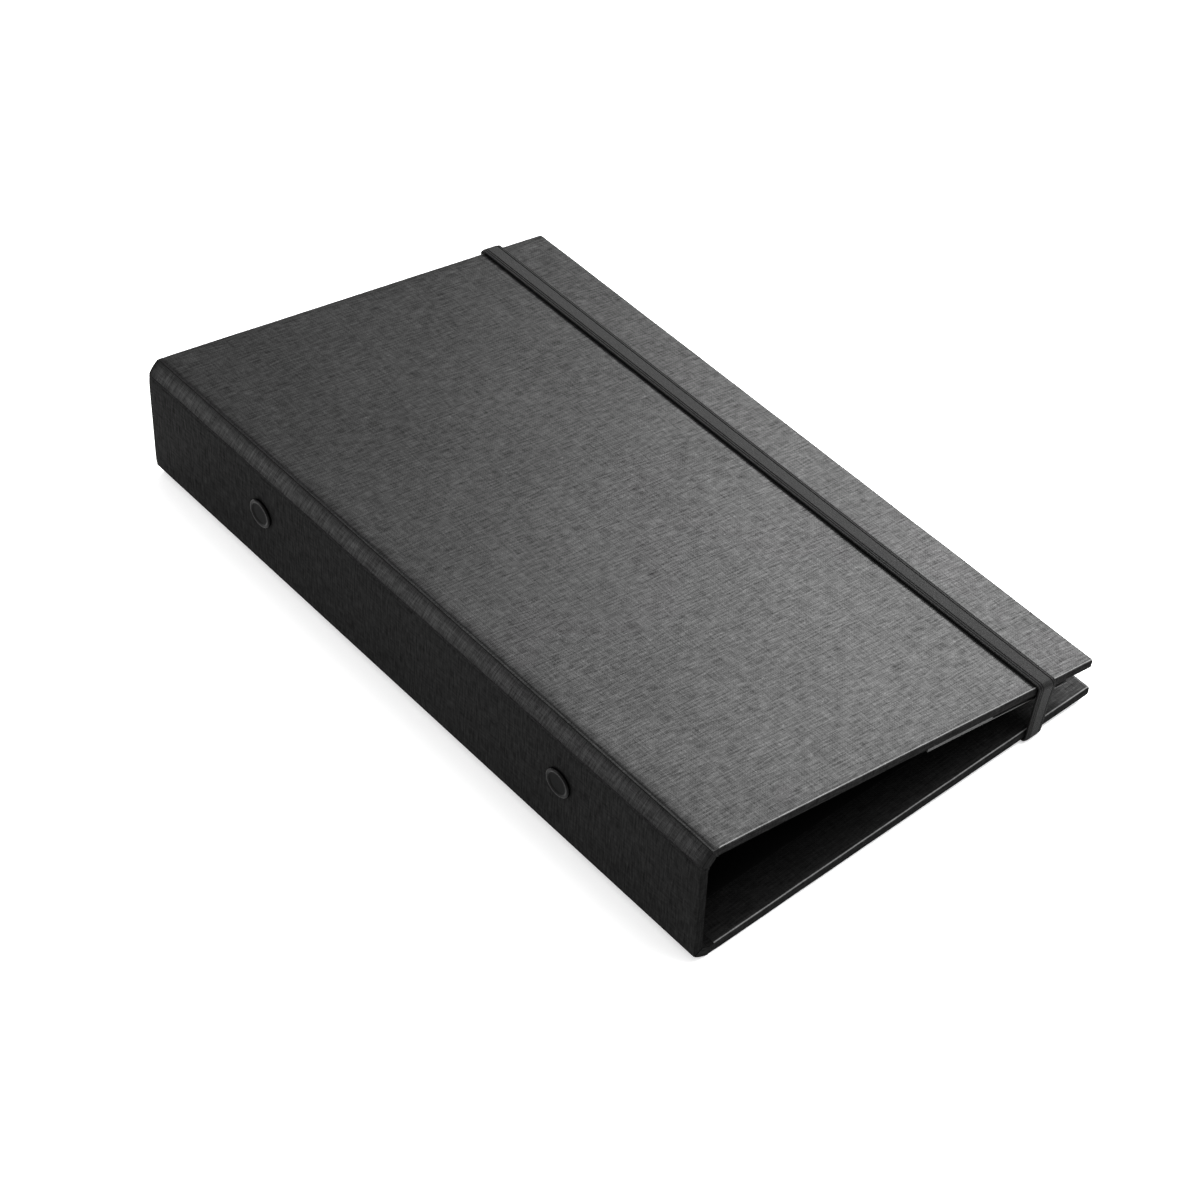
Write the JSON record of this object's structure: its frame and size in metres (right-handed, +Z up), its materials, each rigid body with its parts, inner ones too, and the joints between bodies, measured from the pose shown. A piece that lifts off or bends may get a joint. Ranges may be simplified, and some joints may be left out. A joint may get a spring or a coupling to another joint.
{
  "type": "ring-case sketchbook cover",
  "caption": "Cloth-covered hard case for loose drawing sheets: wedge-shaped closed case, riveted spine with ring mechanism inside, elastic strap closure",
  "frame": {"origin": "centre of the closed case's footprint, on the table it lies on", "axes": "X runs from the spine to the fore edge, Y runs along the spine, Z is up through the front cover"},
  "size_m": [0.1456, 0.2324, 0.0414],
  "materials": {
    "book_cloth": "dark charcoal linen-weave book cloth with a slight coated sheen",
    "grey_board": "raw grey board, hidden under the cloth",
    "lining_paper": "black lining paper, matt with a fine tooth",
    "pocket_card": "black card, folded and glued",
    "elastic_webbing": "ribbed woven elastic, dark charcoal",
    "plated_steel": "bright nickel plate",
    "ring_wire": "bright nickel plate on round wire",
    "spring_steel": "plain zinc-plated spring steel",
    "black_rivet": "black lacquered rivet head, semi-gloss"
  },
  "bodies": {
    "back_cover": {"back_board": "grey_board", "back_cover_cloth": "book_cloth", "back_lining": "lining_paper", "strap_tails": "elastic_webbing"},
    "back_hinge": {"back_hinge_strip": "grey_board", "back_hinge_cloth": "book_cloth", "back_hinge_lining": "lining_paper"},
    "spine": {"spine_board": "grey_board", "spine_cloth": "book_cloth", "spine_lining": "lining_paper", "ring_plate": "plated_steel", "ring_posts": "spring_steel", "spine_rivets": "black_rivet", "lever_pins": "spring_steel"},
    "front_hinge": {"front_hinge_strip": "grey_board", "front_hinge_cloth": "book_cloth", "front_hinge_lining": "lining_paper"},
    "front_cover": {"front_board": "grey_board", "front_cover_cloth": "book_cloth", "front_lining": "lining_paper", "pocket_panel": "pocket_card", "pocket_gusset": "pocket_card"},
    "strap": {"elastic_strap": "elastic_webbing"},
    "upper_rings": {"upper_blade": "spring_steel", "near_ring_upper_half": "ring_wire", "far_ring_upper_half": "ring_wire"},
    "lower_rings": {"lower_blade": "spring_steel", "near_ring_lower_half": "ring_wire", "far_ring_lower_half": "ring_wire"},
    "near_lever": {"near_lever": "plated_steel"},
    "far_lever": {"far_lever": "plated_steel"}
  },
  "joints": [
    {"name": "back_strip_fold", "type": "hinge", "parent": "back_cover", "child": "back_hinge", "pos_m": [-0.0666, 0, 0], "axis": [0, -1, 0], "range_deg": [0, 29.65]},
    {"name": "spine_fold", "type": "hinge", "parent": "back_hinge", "child": "spine", "pos_m": [-0.0718, 0, 0.003], "axis": [0, -1, 0], "range_deg": [0, 59.3]},
    {"name": "front_strip_fold", "type": "hinge", "parent": "spine", "child": "front_hinge", "pos_m": [-0.0718, 0, 0.0373], "axis": [0, -1, 0], "range_deg": [0, 41.37]},
    {"name": "front_cover_fold", "type": "hinge", "parent": "front_hinge", "child": "front_cover", "pos_m": [-0.06809, 0, 0.04149], "axis": [0, -1, 0], "range_deg": [0, 59.1]},
    {"name": "strap_slip", "type": "slide", "parent": "back_cover", "child": "strap", "axis": [1, 0, 0], "range_m": [0, 0.027], "stiffness_N_per_m": 30, "deforming": ["elastic_strap"]},
    {"name": "rings_open", "type": "hinge", "parent": "spine", "child": "upper_rings", "pos_m": [-0.0673, 0, 0.0311], "axis": [0, -1, 0], "range_deg": [0, 12]},
    {"name": "lower_rings_open", "type": "hinge", "parent": "spine", "child": "lower_rings", "pos_m": [-0.0673, 0, 0.0153], "axis": [0, 1, 0], "range_deg": [0, 12]},
    {"name": "near_lever_press", "type": "hinge", "parent": "spine", "child": "near_lever", "pos_m": [-0.0663, -0.071, 0.0232], "axis": [0, 0, -1], "range_deg": [0, 24]},
    {"name": "far_lever_press", "type": "hinge", "parent": "spine", "child": "far_lever", "pos_m": [-0.0663, 0.071, 0.0232], "axis": [0, 0, 1], "range_deg": [0, 24]}
  ],
  "couplings": [
    {"joint": "back_strip_fold", "follows": "spine_fold", "ratio": 0.5},
    {"joint": "front_strip_fold", "follows": "front_cover_fold", "ratio": 0.7},
    {"joint": "lower_rings_open", "follows": "rings_open", "ratio": 1},
    {"joint": "near_lever_press", "follows": "rings_open", "ratio": 2},
    {"joint": "far_lever_press", "follows": "rings_open", "ratio": 2}
  ]
}
